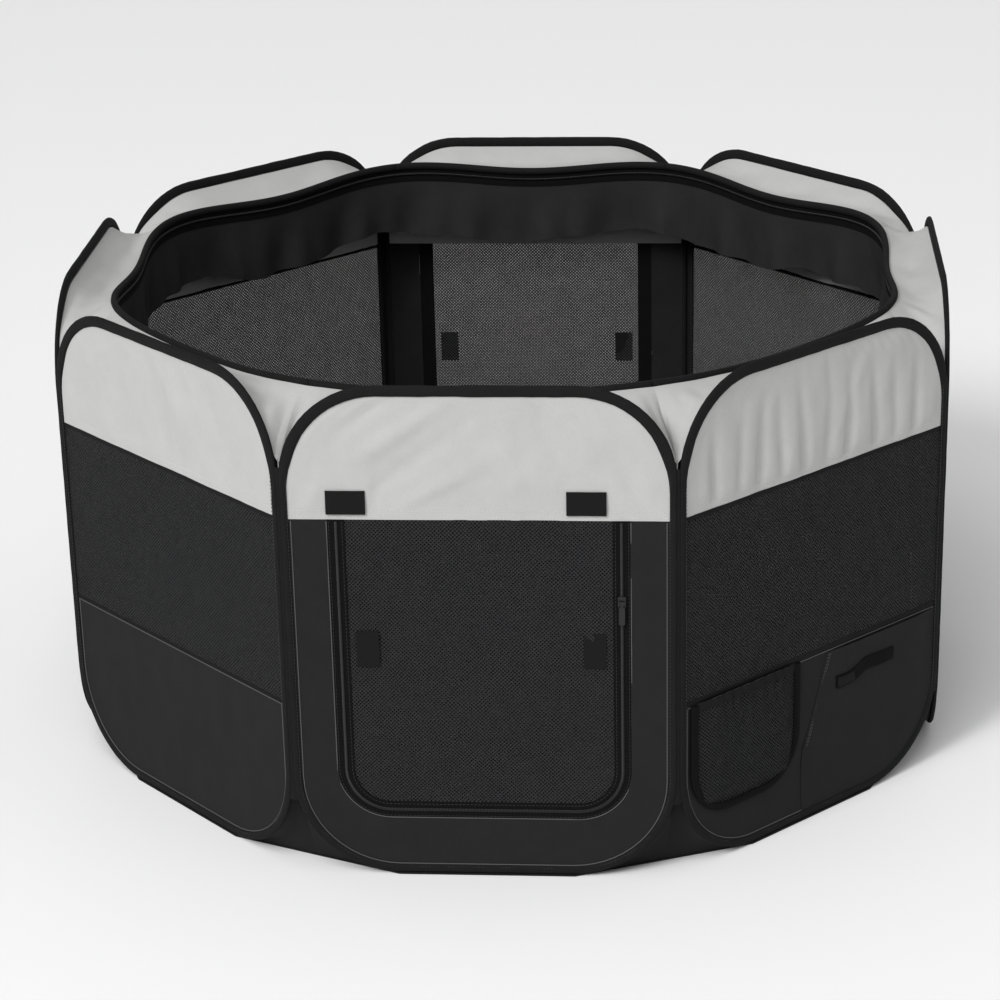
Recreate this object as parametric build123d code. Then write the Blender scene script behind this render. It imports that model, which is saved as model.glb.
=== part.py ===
"""Pop-up pet playpen: eight fabric wall panels on sprung wire hoops, sewn into a ring that folds."""
from build123d import *
import math
import os

os.makedirs("parts", exist_ok=True)

# ---- overall sizes, mm ----
panel_count = 8
fold_pitch = 450.0        # width of one wall, from fold line to fold line
overall_height = 610.0    # floor to the top of the walls
floor_thickness = 2.0
floor_clearance = 0.4     # walls stand this far above the mat
top_corner_radius = 112.0
bottom_corner_radius = 122.0

# ---- hoop and its binding ----
wire_diameter = 3.0
sleeve_clearance = 0.2    # between the wire and the sleeve, all round
binding_width = 10.0      # across the edge, in the plane of the wall
binding_thickness = 6.0
side_gap = 1.8            # from the fold line to the edge of the binding

# ---- fold lines ----
inner_fold_offset = 4.0   # fold lines that close face to face turn about an axis this far inside
outer_fold_offset = 1.2   # the others turn about an axis this far outside

# ---- wall fabrics ----
fabric_thickness = 1.2
mesh_thickness = 0.8
top_seam_height = 450.0
lower_seam_height = 218.0

# ---- doors ----
door_half_width = 151.0
door_bottom = 95.0
door_corner_radius = 42.0
zip_width = 20.0
zip_coil_width = 5.0
zip_coil_height = 1.2
moving_gap = 0.4          # between parts that move past each other
flap_axis_out = 0.7       # flap hinge line, outside the middle of the wall
patch_width = 26.0
patch_height = 44.0
patch_thickness = 1.2
patch_half_spacing = 130.0
patch_height_above_floor = 290.0
tab_width = 45.0
tab_height = 28.0
tab_thickness = 1.5
tab_bottom = 457.0
tab_left_position = -149.0
tab_right_position = 122.0

# ---- zip slider and its pull ----
slider_width = 9.0
slider_length = 14.0
slider_plate = 1.4
slider_height = 352.0
lug_thickness = 1.2
lug_reach = 3.2
pin_diameter = 1.2
pin_clearance = 0.1
pull_barrel_diameter = 2.8
pull_barrel_length = 3.0
pull_width = 7.0
pull_length = 27.0
pull_thickness = 1.2

# ---- pockets on the front right wall ----
pocket_wall = 1.5
pocket_room = 9.0         # depth inside the mesh pocket
mesh_pocket_left = -205.0
mesh_pocket_right = -29.0
mesh_pocket_top = 212.0
mesh_pocket_bottom = 66.0
mesh_pocket_radius = 62.0
pocket_rim_height = 12.0
pocket_rim_thickness = 1.0
flat_pocket_left = 19.0
flat_pocket_top = 208.0
flat_pocket_room = 6.4
strip_left = 32.0
strip_right = 132.0
strip_bottom = 168.0
strip_height = 18.0
strip_thickness = 1.4

# ---- soft rim ----
rim_inset = 62.0          # from the middle of the wall to the rim
rim_drop = 35.0           # rim below the top of the walls
rim_zip_height = 22.0
rim_zip_thickness = 1.5
rim_coil_height = 4.0
rim_coil_thickness = 1.2
skirt_height = 80.0
skirt_thickness = 1.0
shelf_thickness = 3.0
shelf_edge_drop = 7.0     # outer edge of the shelf below the top of the walls
notch_drop = 110.0        # bottom of the corner notches below the top of the walls
soft_gap = 1.0            # between the walls and the soft rim parts

# ---- derived ----
apothem = fold_pitch / (2 * math.tan(math.pi / panel_count))
wall_bottom = floor_thickness + floor_clearance
wall_half = fold_pitch / 2 - side_gap
half_angle = 180.0 / panel_count
zip_outer_half = door_half_width + zip_width
zip_bottom = door_bottom - zip_width
zip_middle = door_half_width + zip_width / 2
rim_apothem = apothem - rim_inset
rim_top = overall_height - rim_drop
coil_face = fabric_thickness / 2 + zip_coil_height

panel_names = [
    "front",
    "front_right",
    "right",
    "rear_right",
    "rear",
    "rear_left",
    "left",
    "front_left",
]
door_panels = ["front", "rear"]
solids = {}


def slab(sketch, inner, outer):
    """Extrude a wall-plane sketch between two depths, counted outward from the middle of the wall."""
    return extrude(Plane.XZ.offset(inner) * sketch, amount=outer - inner)


def box(left, right, low, high, inner, outer):
    """Box given by its limits across the wall, up it and out of it."""
    middle = Pos((left + right) / 2, -(inner + outer) / 2, (low + high) / 2)
    return middle * Box(right - left, outer - inner, high - low)


def outline(inset):
    """Rounded wall outline, moved in by inset all round."""
    half = wall_half - inset
    low = wall_bottom + inset
    high = overall_height - inset
    sketch = Pos(0, (low + high) / 2) * Rectangle(2 * half, high - low)
    sketch = fillet(sketch.vertices().group_by(Axis.Y)[-1], top_corner_radius - inset)
    return fillet(sketch.vertices().group_by(Axis.Y)[0], bottom_corner_radius - inset)


def band(low, high):
    """Full-width strip of the wall plane between two heights."""
    return Pos(0, (low + high) / 2) * Rectangle(2 * fold_pitch, high - low)


def rounded_below(left, right, low, high, radius):
    """Rectangle with its two lower corners rounded."""
    sketch = Pos((left + right) / 2, (low + high) / 2) * Rectangle(right - left, high - low)
    return fillet(sketch.vertices().group_by(Axis.Y)[0], radius)


def round_bar(inset, diameter):
    """Round bar bent to the wall outline."""
    path = (Plane.XZ * outline(inset)).face().outer_wire()
    start = path @ 0
    heading = path % 0
    return sweep(Plane(origin=start, z_dir=heading) * Circle(diameter / 2), path=path)


def hoop():
    return round_bar(binding_width / 2, wire_diameter)


def binding():
    """Flat tube sewn round the edge, with the sleeve for the wire inside it."""
    half = binding_thickness / 2
    tube = slab(outline(0) - outline(binding_width), -half, half)
    return tube - round_bar(binding_width / 2, wire_diameter + 2 * sleeve_clearance)


def wall_piece(low, high, thickness):
    """Fabric or mesh between two heights, meeting the binding at its sides."""
    return slab(outline(binding_width) & band(low, high), -thickness / 2, thickness / 2)


def door_shape(half_width, low, radius):
    return rounded_below(-half_width, half_width, low, top_seam_height, radius)


def surround():
    inside = outline(binding_width) & band(0, top_seam_height)
    hole = door_shape(zip_outer_half, zip_bottom, door_corner_radius + zip_width)
    return slab(inside - hole, -fabric_thickness / 2, fabric_thickness / 2)


def zip_track():
    """U-shaped tape with the closed coil standing out along its middle."""
    side = (zip_width - zip_coil_width) / 2
    outer = door_shape(zip_outer_half, zip_bottom, door_corner_radius + zip_width)
    tape = slab(
        outer - door_shape(door_half_width, door_bottom, door_corner_radius),
        -fabric_thickness / 2,
        fabric_thickness / 2,
    )
    coil_outer = door_shape(
        zip_outer_half - side,
        zip_bottom + side,
        door_corner_radius + zip_width - side,
    )
    coil_inner = door_shape(
        door_half_width + side,
        door_bottom - side,
        door_corner_radius + side,
    )
    return tape + slab(coil_outer - coil_inner, fabric_thickness / 2, coil_face)


def flap():
    half = door_half_width - moving_gap
    shape = rounded_below(
        -half,
        half,
        door_bottom + moving_gap,
        top_seam_height - moving_gap,
        door_corner_radius - moving_gap,
    )
    return slab(shape, -mesh_thickness / 2, mesh_thickness / 2)


def patches():
    """Two hook-and-loop patches on the outside of the flap."""
    low = patch_height_above_floor - patch_height / 2
    pair = []
    for side in (-1, 1):
        middle = side * patch_half_spacing
        pair.append(
            box(
                middle - patch_width / 2,
                middle + patch_width / 2,
                low,
                low + patch_height,
                mesh_thickness / 2,
                mesh_thickness / 2 + patch_thickness,
            )
        )
    return Compound(children=pair)


def tab(middle):
    """Roll-up tab that hangs from its stitched upper edge."""
    inner = fabric_thickness / 2 + moving_gap
    shape = rounded_below(
        middle - tab_width / 2,
        middle + tab_width / 2,
        tab_bottom,
        tab_bottom + tab_height,
        3.0,
    )
    return slab(shape, inner, inner + tab_thickness)


def slider():
    """Slider plate over the coil, with two lugs and the pin that holds the pull."""
    inner = coil_face + moving_gap
    face = inner + slider_plate
    pin_out = face + lug_reach / 2
    lug_inner = pull_barrel_length / 2 + 0.2
    body = box(
        zip_middle - slider_width / 2,
        zip_middle + slider_width / 2,
        slider_height - slider_length / 2,
        slider_height + slider_length / 2,
        inner,
        face,
    )
    body = fillet(body.edges().filter_by(Axis.Y), 2.0)
    for side in (-1, 1):
        near = zip_middle + side * lug_inner
        far = near + side * lug_thickness
        body += box(
            min(near, far),
            max(near, far),
            slider_height - 2.2,
            slider_height + 2.2,
            face,
            face + lug_reach,
        )
    pin = Rot(0, 90, 0) * Cylinder(pin_diameter / 2, 2 * lug_inner + lug_thickness)
    return body + Pos(zip_middle, -pin_out, slider_height) * pin


def pull():
    """Pull with a barrel that turns on the slider's pin."""
    pin_out = coil_face + moving_gap + slider_plate + lug_reach / 2
    barrel = Rot(0, 90, 0) * Cylinder(pull_barrel_diameter / 2, pull_barrel_length)
    bore = Rot(0, 90, 0) * Cylinder(pin_diameter / 2 + pin_clearance, 2 * pull_barrel_length)
    centre = Pos(zip_middle, -pin_out, slider_height)
    neck = box(
        zip_middle - pull_barrel_length / 2,
        zip_middle + pull_barrel_length / 2,
        slider_height - 6.0,
        slider_height,
        pin_out - pull_thickness / 2,
        pin_out + pull_thickness / 2,
    )
    blade = box(
        zip_middle - pull_width / 2,
        zip_middle + pull_width / 2,
        slider_height - pull_length,
        slider_height - 5.0,
        pin_out - pull_thickness / 2,
        pin_out + pull_thickness / 2,
    )
    blade = fillet(blade.edges().filter_by(Axis.Y), 1.8)
    return (centre * barrel) + neck + blade - (centre * bore)


def open_pocket(shape, hollow, room):
    """Pocket open at the top, closed at the back by the wall it is sewn to."""
    face = fabric_thickness / 2
    return slab(shape, face, face + room + pocket_wall) - slab(hollow, face, face + room)


def mesh_pocket():
    shape = rounded_below(
        mesh_pocket_left,
        mesh_pocket_right,
        mesh_pocket_bottom,
        mesh_pocket_top,
        mesh_pocket_radius,
    )
    hollow = rounded_below(
        mesh_pocket_left + pocket_wall,
        mesh_pocket_right - pocket_wall,
        mesh_pocket_bottom + pocket_wall,
        mesh_pocket_top + pocket_wall,
        mesh_pocket_radius - pocket_wall,
    )
    return open_pocket(shape, hollow, pocket_room)


def pocket_rim():
    """Binding along the front of the mesh pocket, from one side round the bottom to the other."""
    face = fabric_thickness / 2 + pocket_room + pocket_wall
    outer = rounded_below(
        mesh_pocket_left,
        mesh_pocket_right,
        mesh_pocket_bottom,
        mesh_pocket_top,
        mesh_pocket_radius,
    )
    inner = rounded_below(
        mesh_pocket_left + pocket_rim_height,
        mesh_pocket_right - pocket_rim_height,
        mesh_pocket_bottom + pocket_rim_height,
        mesh_pocket_top - pocket_rim_height,
        mesh_pocket_radius - pocket_rim_height,
    )
    return slab(outer - inner, face, face + pocket_rim_thickness)


def right_of(left, top):
    """Part of the wall plane to the right of a line and below a height."""
    return Pos(left + fold_pitch / 2, top / 2) * Rectangle(fold_pitch, top)


def flat_pocket():
    """Pocket over the whole right side of the lower section, out to the binding."""
    shape = outline(binding_width) & right_of(flat_pocket_left, flat_pocket_top)
    hollow = outline(binding_width + pocket_wall) & right_of(
        flat_pocket_left + pocket_wall,
        flat_pocket_top + pocket_wall,
    )
    return open_pocket(shape, hollow, flat_pocket_room)


def hook_strip():
    face = fabric_thickness / 2 + flat_pocket_room + pocket_wall
    return box(
        strip_left,
        strip_right,
        strip_bottom,
        strip_bottom + strip_height,
        face,
        face + strip_thickness,
    )


def octagon_ring(inner, outer, low, high):
    """Upright eight-sided ring between two apothems."""
    shape = RegularPolygon(outer, panel_count, major_radius=False, rotation=half_angle)
    hole = RegularPolygon(inner, panel_count, major_radius=False, rotation=half_angle)
    return extrude(Plane.XY.offset(low) * (shape - hole), amount=high - low)


def floor_mat():
    """Eight-sided mat with its corners cut back to where the walls' lower corners begin."""
    reach = apothem + binding_thickness / 2
    corner = reach / math.cos(math.radians(half_angle))
    cut = corner - bottom_corner_radius * math.sin(math.radians(half_angle))
    shape = RegularPolygon(reach, panel_count, major_radius=False, rotation=half_angle)
    corners = RegularPolygon(cut, panel_count, major_radius=False)
    return extrude(shape & corners, amount=floor_thickness)


def rim_zip():
    """Tape of the cover zip, with its teeth standing out inside the rim."""
    low = rim_top - rim_zip_height
    middle = rim_top - rim_zip_height / 2
    tape = octagon_ring(rim_apothem, rim_apothem + rim_zip_thickness, low, rim_top)
    teeth = octagon_ring(
        rim_apothem - rim_coil_thickness,
        rim_apothem,
        middle - rim_coil_height / 2,
        middle + rim_coil_height / 2,
    )
    return tape + teeth


def skirt():
    high = rim_top - rim_zip_height
    return octagon_ring(rim_apothem, rim_apothem + skirt_thickness, high - skirt_height, high)


def turned(index, across, out, height):
    """Point on a wall, in the frame of the whole pen."""
    angle = math.radians(360.0 / panel_count * index)
    x = across
    y = -(apothem + out)
    return Vector(
        x * math.cos(angle) - y * math.sin(angle),
        x * math.sin(angle) + y * math.cos(angle),
        height,
    )


def corner_point(index, reach, height):
    """Point on the line between wall index and the next, at a given apothem."""
    across = reach * math.tan(math.radians(half_angle))
    return turned(index, across, reach - apothem, height)


def plate(points):
    """Thin sloping plate, extruded straight down so that neighbours share their sides."""
    face = make_face(Polyline(*points, close=True))
    return extrude(face, amount=shelf_thickness, dir=(0, 0, -1))


def shelf():
    """Sloping ring from the rim to the walls, with a gusset down each corner notch."""
    pieces = []
    back = -binding_thickness / 2 - soft_gap
    edge = overall_height - shelf_edge_drop
    across = wall_half - top_corner_radius
    inner = rim_apothem + rim_zip_thickness
    for index in range(panel_count):
        before = index - 1
        left = turned(index, -across, back, edge)
        right = turned(index, across, back, edge)
        rim_right = corner_point(index, inner, rim_top)
        rim_left = corner_point(before, inner, rim_top)
        following = turned(index + 1, -across, back, edge)
        notch = corner_point(index, apothem + back - soft_gap, overall_height - notch_drop)
        pieces.append(plate([left, right, rim_right, rim_left]))
        pieces.append(plate([right, following, rim_right]))
        pieces.append(plate([right, notch, following]))
    return Compound(children=pieces)


def keep(name, solid, index):
    """Turn a wall's piece to its place in the ring and keep it."""
    solids[name] = Rot(0, 0, 360.0 / panel_count * index) * Pos(0, -apothem, 0) * solid


for index, name in enumerate(panel_names):
    keep(name + "_hoop", hoop(), index)
    keep(name + "_binding", binding(), index)
    keep(
        name + "_top",
        wall_piece(top_seam_height, overall_height, fabric_thickness),
        index,
    )
    if name in door_panels:
        keep(name + "_surround", surround(), index)
        keep(name + "_zip", zip_track(), index)
        keep(name + "_flap", flap(), index)
        keep(name + "_patches", patches(), index)
        keep(name + "_tab_left", tab(tab_left_position), index)
        keep(name + "_tab_right", tab(tab_right_position), index)
        keep(name + "_slider", slider(), index)
        keep(name + "_pull", pull(), index)
    else:
        keep(name + "_mesh", wall_piece(lower_seam_height, top_seam_height, mesh_thickness), index)
        keep(name + "_lower", wall_piece(0, lower_seam_height, fabric_thickness), index)

keep("mesh_pocket", mesh_pocket(), 1)
keep("mesh_pocket_binding", pocket_rim(), 1)
keep("flat_pocket", flat_pocket(), 1)
keep("hook_strip", hook_strip(), 1)

solids["floor"] = floor_mat()
solids["rim_zip"] = rim_zip()
solids["skirt"] = skirt()
solids["shelf"] = shelf()

for name, solid in solids.items():
    solid.label = name
    export_step(solid, "parts/" + name + ".step")
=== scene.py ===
import math
import random
import bpy
from mathutils import Matrix, Vector, noise


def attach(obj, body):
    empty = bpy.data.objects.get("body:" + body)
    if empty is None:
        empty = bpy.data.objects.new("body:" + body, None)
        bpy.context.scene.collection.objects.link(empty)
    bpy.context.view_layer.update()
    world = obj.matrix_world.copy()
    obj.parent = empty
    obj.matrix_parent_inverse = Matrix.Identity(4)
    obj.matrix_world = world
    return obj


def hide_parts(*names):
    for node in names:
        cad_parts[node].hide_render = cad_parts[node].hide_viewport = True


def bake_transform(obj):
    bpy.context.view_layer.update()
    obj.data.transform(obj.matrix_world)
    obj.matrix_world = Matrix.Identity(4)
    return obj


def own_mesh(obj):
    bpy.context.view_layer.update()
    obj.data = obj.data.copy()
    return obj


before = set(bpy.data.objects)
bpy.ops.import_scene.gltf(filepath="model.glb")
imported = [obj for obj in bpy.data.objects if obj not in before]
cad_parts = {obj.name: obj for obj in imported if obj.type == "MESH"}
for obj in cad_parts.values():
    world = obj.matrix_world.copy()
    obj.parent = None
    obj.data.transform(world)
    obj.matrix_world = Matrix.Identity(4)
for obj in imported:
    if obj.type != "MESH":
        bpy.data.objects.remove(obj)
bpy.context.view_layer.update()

# ---- sizes shared with the CAD model, metres ----
WALLS = ["front", "front_right", "right", "rear_right", "rear", "rear_left", "left", "front_left"]
DOORS = ("front", "rear")
PITCH = 0.450
HALF_TURN = math.pi / 8   # half the angle between two walls
APOTHEM = PITCH / (2 * math.tan(HALF_TURN))
HALF = PITCH / 2 - 0.0018
LOW = 0.0024
HIGH = 0.610
TOP_RADIUS = 0.112
LOW_RADIUS = 0.122
SEAM = 0.450
LOWER_SEAM = 0.218
DOOR_HALF = 0.151
DOOR_LOW = 0.095
DOOR_RADIUS = 0.042
ZIP_WIDTH = 0.020
TABS = (("left", -0.149), ("right", 0.122))
TAB_HALF = 0.0225
TAB_LOW = 0.457
TAB_ROOT = 0.4848
PATCH_MIDDLE = 0.130
PATCH_HALF = 0.013
RIM = APOTHEM - 0.062
RIM_TOP = HIGH - 0.035
RIM_BAND = 0.022
SKIRT = 0.079

# ---- sizes that only the looks use ----
TUCK = 0.005              # how far fabric runs under the edge binding
STITCH_INSET = 0.0078
PIPING_INSET = 0.0112
POCKET_INSET = 0.0095
DOOR_LAP = 0.0003         # the door mesh runs this far past its opening
NOTCH = 0.486             # lowest point of the shelf, in the corner between two arches
TAB_ROOM = 0.526          # the top cloth stays flat below this, where a raised tab lies
NO_TOP = 1.0              # outline with no rounded top: above everything
CLOTH_SPECULAR = 0.08


# ---------------------------------------------------------------- colours and materials
def srgb(code):
    """Linear colour from an sRGB hex code."""
    out = []
    for i in (0, 2, 4):
        c = int(code[i:i + 2], 16) / 255
        out.append(c / 12.92 if c <= 0.04045 else ((c + 0.055) / 1.055) ** 2.4)
    return (*out, 1.0)


def add(tree, kind, inputs=None, **settings):
    """Add a node, set it, and fill its inputs with values or links."""
    made = tree.nodes.new(kind)
    for key, value in settings.items():
        setattr(made, key, value)
    for key, value in (inputs or {}).items():
        if isinstance(value, bpy.types.NodeSocket):
            tree.links.new(value, made.inputs[key])
        else:
            made.inputs[key].default_value = value
    return made


def maths(tree, operation, a, b=0.0, c=0.0):
    return add(tree, "ShaderNodeMath", {0: a, 1: b, 2: c}, operation=operation).outputs[0]


def new_material(name):
    made = bpy.data.materials.new(name)
    made.use_nodes = True
    shader = made.node_tree.nodes["Principled BSDF"]
    return made, made.node_tree, shader


def speckle(tree, scale, detail, roughness=0.5):
    """Noise fixed to the object."""
    where = add(tree, "ShaderNodeTexCoord")
    inputs = {"Vector": where.outputs["Object"], "Scale": scale}
    inputs.update({"Detail": detail, "Roughness": roughness})
    return add(tree, "ShaderNodeTexNoise", inputs).outputs[0]


def tint(tree, shader, colour, tone):
    inputs = {0: srgb(colour)[:3], "Scale": tone}
    base = add(tree, "ShaderNodeVectorMath", inputs, operation="SCALE")
    tree.links.new(base.outputs[0], shader.inputs["Base Color"])


def emboss(tree, shader, height, distance, strength):
    bump = add(tree, "ShaderNodeBump", {"Height": height, "Distance": distance, "Strength": strength})
    tree.links.new(bump.outputs[0], shader.inputs["Normal"])


def wave_pair(tree, pitch, turn):
    """Two sine waves across the cloth's own metres, at a pitch, square or turned 45 degrees."""
    uv = add(tree, "ShaderNodeUVMap", uv_map="cloth")
    parts = add(tree, "ShaderNodeSeparateXYZ", {0: uv.outputs[0]})
    x = parts.outputs[0]
    y = parts.outputs[1]
    if turn:
        x, y = maths(tree, "ADD", x, y), maths(tree, "SUBTRACT", x, y)
    k = 2 * math.pi / pitch
    a = maths(tree, "SINE", maths(tree, "MULTIPLY", x, k))
    b = maths(tree, "SINE", maths(tree, "MULTIPLY", y, k))
    return a, b


def woven(name, colour, pitch, relief, rough, sheen, mottle):
    """Plain-weave cloth: crossed waves for the threads, with noise for uneven dye and wear.
    The real weave is about 0.4 mm; it is drawn coarser so that it still shows at this distance."""
    made, tree, shader = new_material(name)
    a, b = wave_pair(tree, pitch, False)
    weave = maths(tree, "MULTIPLY", a, b)
    cloud = speckle(tree, 38.0, 5.0, 0.7)
    grain = speckle(tree, 900.0, 2.0)
    dye = maths(tree, "MULTIPLY", cloud, mottle)
    wear = maths(tree, "MULTIPLY", grain, mottle * 1.6)
    tone = maths(tree, "ADD", dye, wear)
    tone = maths(tree, "ADD", tone, maths(tree, "MULTIPLY", weave, mottle * 0.25))
    tone = maths(tree, "ADD", tone, 1.0 - mottle * 1.3)
    tint(tree, shader, colour, tone)
    emboss(tree, shader, maths(tree, "ADD", maths(tree, "MULTIPLY", weave, 0.5), grain), relief, 0.6)
    shader.inputs["Roughness"].default_value = rough
    shader.inputs["Sheen Weight"].default_value = sheen
    shader.inputs["Sheen Roughness"].default_value = 0.5
    shader.inputs["Specular IOR Level"].default_value = CLOTH_SPECULAR
    return made


def netting(name, colour, pitch, level, rough):
    """Knitted polyester mesh: light passes on a diagonal grid of spots, through the shader's alpha.
    The real holes are about 1.5 mm apart and wide open; here the spots are coarser, so that they
    still show, and only half open, so that they let through as much light as the real mesh."""
    made, tree, shader = new_material(name)
    a, b = wave_pair(tree, pitch, True)
    total = maths(tree, "ADD", a, b)
    uneven = maths(tree, "SUBTRACT", speckle(tree, 60.0, 3.0), 0.5)
    total = maths(tree, "ADD", total, maths(tree, "MULTIPLY", uneven, 0.8))
    solid = add(tree, "ShaderNodeMapRange", {0: total, 1: level - 0.6, 2: level + 0.6, 3: 0.93, 4: 0.5})
    tree.links.new(solid.outputs[0], shader.inputs["Alpha"])
    # The colour darkens from the threads into the hole spots: painted shade inside the holes.
    painted_hole_shade = add(tree, "ShaderNodeMapRange", {0: total, 1: -0.6, 2: 1.2, 3: 1.0, 4: 0.3})
    tint(tree, shader, colour, painted_hole_shade.outputs[0])
    shader.inputs["Roughness"].default_value = rough
    shader.inputs["Specular IOR Level"].default_value = CLOTH_SPECULAR
    emboss(tree, shader, total, 0.0004, 0.8)
    return made


def plain(name, colour, rough, metallic=0.0, fuzz=0.0):
    """Smooth part, or fuzzy hook-and-loop pile if fuzz is given."""
    made, tree, shader = new_material(name)
    shader.inputs["Base Color"].default_value = srgb(colour)
    shader.inputs["Roughness"].default_value = rough
    shader.inputs["Metallic"].default_value = metallic
    if fuzz:
        emboss(tree, shader, speckle(tree, 1400.0, 3.0), fuzz, 1.0)
        shader.inputs["Specular IOR Level"].default_value = 0.12
    return made


GREY = woven("light_grey_polyester_oxford", "B3B3B2", 0.0018, 0.00010, 0.85, 0.05, 0.12)
DARK = woven("charcoal_polyester_oxford", "222223", 0.0018, 0.00012, 0.75, 0.0, 0.35)
TAPE = woven("black_polyester_binding", "1A1A1A", 0.0015, 0.00020, 0.8, 0.0, 0.45)
SKIRT_CLOTH = woven("black_polyester_taffeta", "2A2A2B", 0.0015, 0.00010, 0.7, 0.0, 0.45)
MAT_CLOTH = woven("charcoal_waterproof_oxford", "1C1C1D", 0.0020, 0.00012, 0.6, 0.0, 0.25)
MESH = netting("black_polyester_mesh", "313132", 0.0046, 0.65, 0.8)
POCKET_MESH = netting("black_pocket_mesh", "2C2C2D", 0.0046, 0.75, 0.8)
ZIP_TAPE = woven("black_zip_tape", "0E0E0E", 0.0012, 0.00015, 0.85, 0.0, 0.35)
TEETH = plain("black_nylon_coil", "121212", 0.4)
SLIDER = plain("black_enamelled_zinc", "1B1B1B", 0.35, 0.3)
VELCRO = plain("black_hook_and_loop", "181818", 0.95, 0.0, 0.0006)
# Piping cord along the binding edges: a real cord, but its light grey partly paints the highlight along
# that edge.
PIPING_GREY_HIGHLIGHT = plain("grey_piping_painted_highlight", "484848", 0.7)
LIGHT_THREAD = plain("light_grey_thread", "C6C6C4", 0.7)
DARK_THREAD = plain("black_thread", "303030", 0.6)


# ---------------------------------------------------------------- geometry helpers
def place(k, across, out, height):
    """Point of wall k in the frame of the whole pen."""
    turn = math.radians(45 * k)
    y = -(APOTHEM + out)
    return Vector((
        across * math.cos(turn) - y * math.sin(turn),
        across * math.sin(turn) + y * math.cos(turn),
        height,
    ))


def outward(k):
    turn = math.radians(45 * k)
    return Vector((math.sin(turn), -math.cos(turn), 0.0))


def smooth(x):
    x = min(max(x, 0.0), 1.0)
    return x * x * (3 - 2 * x)


def mix(a, b, t):
    return a + (b - a) * t


def wander(x, y, z):
    """Smooth noise, about -1 to 1."""
    return noise.noise(Vector((x, y, z)))


def even(a, b, n):
    return [mix(a, b, i / n) for i in range(n + 1)]


def finish_mesh(name, verts, faces, uvs, material, sharp=()):
    data = bpy.data.meshes.new(name)
    data.from_pydata(verts, [], faces)
    data.materials.append(material)
    layer = data.uv_layers.new(name="cloth")
    for loop in data.loops:
        layer.data[loop.index].uv = uvs[loop.vertex_index]
    data.polygons.foreach_set("use_smooth", [True] * len(data.polygons))
    if sharp:
        marks = data.attributes.new("sharp_edge", "BOOLEAN", "EDGE")
        for edge in data.edges:
            marks.data[edge.index].value = frozenset(edge.vertices) in sharp
    data.update()
    made = bpy.data.objects.new(name, data)
    bpy.context.scene.collection.objects.link(made)
    return made


def sheet(name, rows, uv, thickness, material, slot, body, flat=None, held="stretched"):
    """Closed thin sheet from a grid of points; its front faces the way that across x up points."""
    n = len(rows)
    m = len(rows[0])
    verts = []
    for side in (0.5, -0.5):
        for i in range(n):
            for j in range(m):
                right = rows[i][min(j + 1, m - 1)] - rows[i][max(j - 1, 0)]
                up = rows[min(i + 1, n - 1)][j] - rows[max(i - 1, 0)][j]
                normal = right.cross(up)
                normal = normal.normalized() if normal.length > 1e-12 else Vector((0, 0, 1))
                verts.append(rows[i][j] + normal * thickness * side)
    uvs = [uv[i][j] for i in range(n) for j in range(m)] * 2
    back = n * m
    faces = []
    for i in range(n - 1):
        for j in range(m - 1):
            a = i * m + j
            faces.append((a, a + 1, a + m + 1, a + m))
            faces.append((back + a + m, back + a + m + 1, back + a + 1, back + a))
    ring = list(range(m))
    ring += [i * m + m - 1 for i in range(1, n)]
    ring += [(n - 1) * m + j for j in range(m - 2, -1, -1)]
    ring += [i * m for i in range(n - 2, 0, -1)]
    sharp = set()
    for i, a in enumerate(ring):
        b = ring[(i + 1) % len(ring)]
        faces.append((a, back + a, back + b, b))
        sharp.add(frozenset((a, b)))
        sharp.add(frozenset((back + a, back + b)))
    made = finish_mesh(name, verts, faces, uvs, material, sharp)
    if body:
        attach(made, body)
    return made


def sweep(name, path, section, material, body, closed=False, out=None):
    """Tube along a path. section(i) gives points as (towards the left of the path, outward)."""
    n = len(path)
    verts = []
    uvs = []
    length = 0.0
    count = 0
    for i, point in enumerate(path):
        ahead = path[(i + 1) % n] if closed else path[min(i + 1, n - 1)]
        behind = path[i - 1] if closed else path[max(i - 1, 0)]
        heading = (ahead - behind).normalized()
        away = (out(i) if callable(out) else out).normalized()
        side = away.cross(heading).normalized()
        ring = section(i)
        count = len(ring)
        if i:
            length += (point - path[i - 1]).length
        for j, (a, b) in enumerate(ring):
            verts.append(point + side * a + away * b)
            uvs.append((length, 0.02 * j / count))
    faces = []
    for i in range(n if closed else n - 1):
        for j in range(count):
            a = i * count + j
            b = i * count + (j + 1) % count
            c = ((i + 1) % n) * count + (j + 1) % count
            d = ((i + 1) % n) * count + j
            faces.append((a, d, c, b))
    if not closed:
        faces.append(tuple(range(count)))
        faces.append(tuple((n - 1) * count + j for j in reversed(range(count))))
    made = finish_mesh(name, verts, faces, uvs, material)
    if face_volume(made) < 0:
        made.data.flip_normals()
    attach(made, body)
    return made


def wall_sweep(k, name, line, section, material):
    """Open sweep on wall k, facing out from it."""
    return sweep(name, line, section, material, WALLS[k] + "_wall", False, outward(k))


def face_volume(obj):
    total = 0.0
    for face in obj.data.polygons:
        points = [obj.data.vertices[v].co for v in face.vertices]
        for i in range(1, len(points) - 1):
            total += points[0].dot(points[i].cross(points[i + 1]))
    return total


def oval(half_width, half_thickness, count=12, shift=0.0, power=0.75):
    """Flattened round section."""
    ring = []
    for j in range(count):
        a = 2 * math.pi * j / count
        c = math.cos(a)
        s = math.sin(a)
        ring.append((
            shift + half_width * math.copysign(abs(c) ** power, c),
            half_thickness * math.copysign(abs(s) ** power, s),
        ))
    return ring


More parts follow.
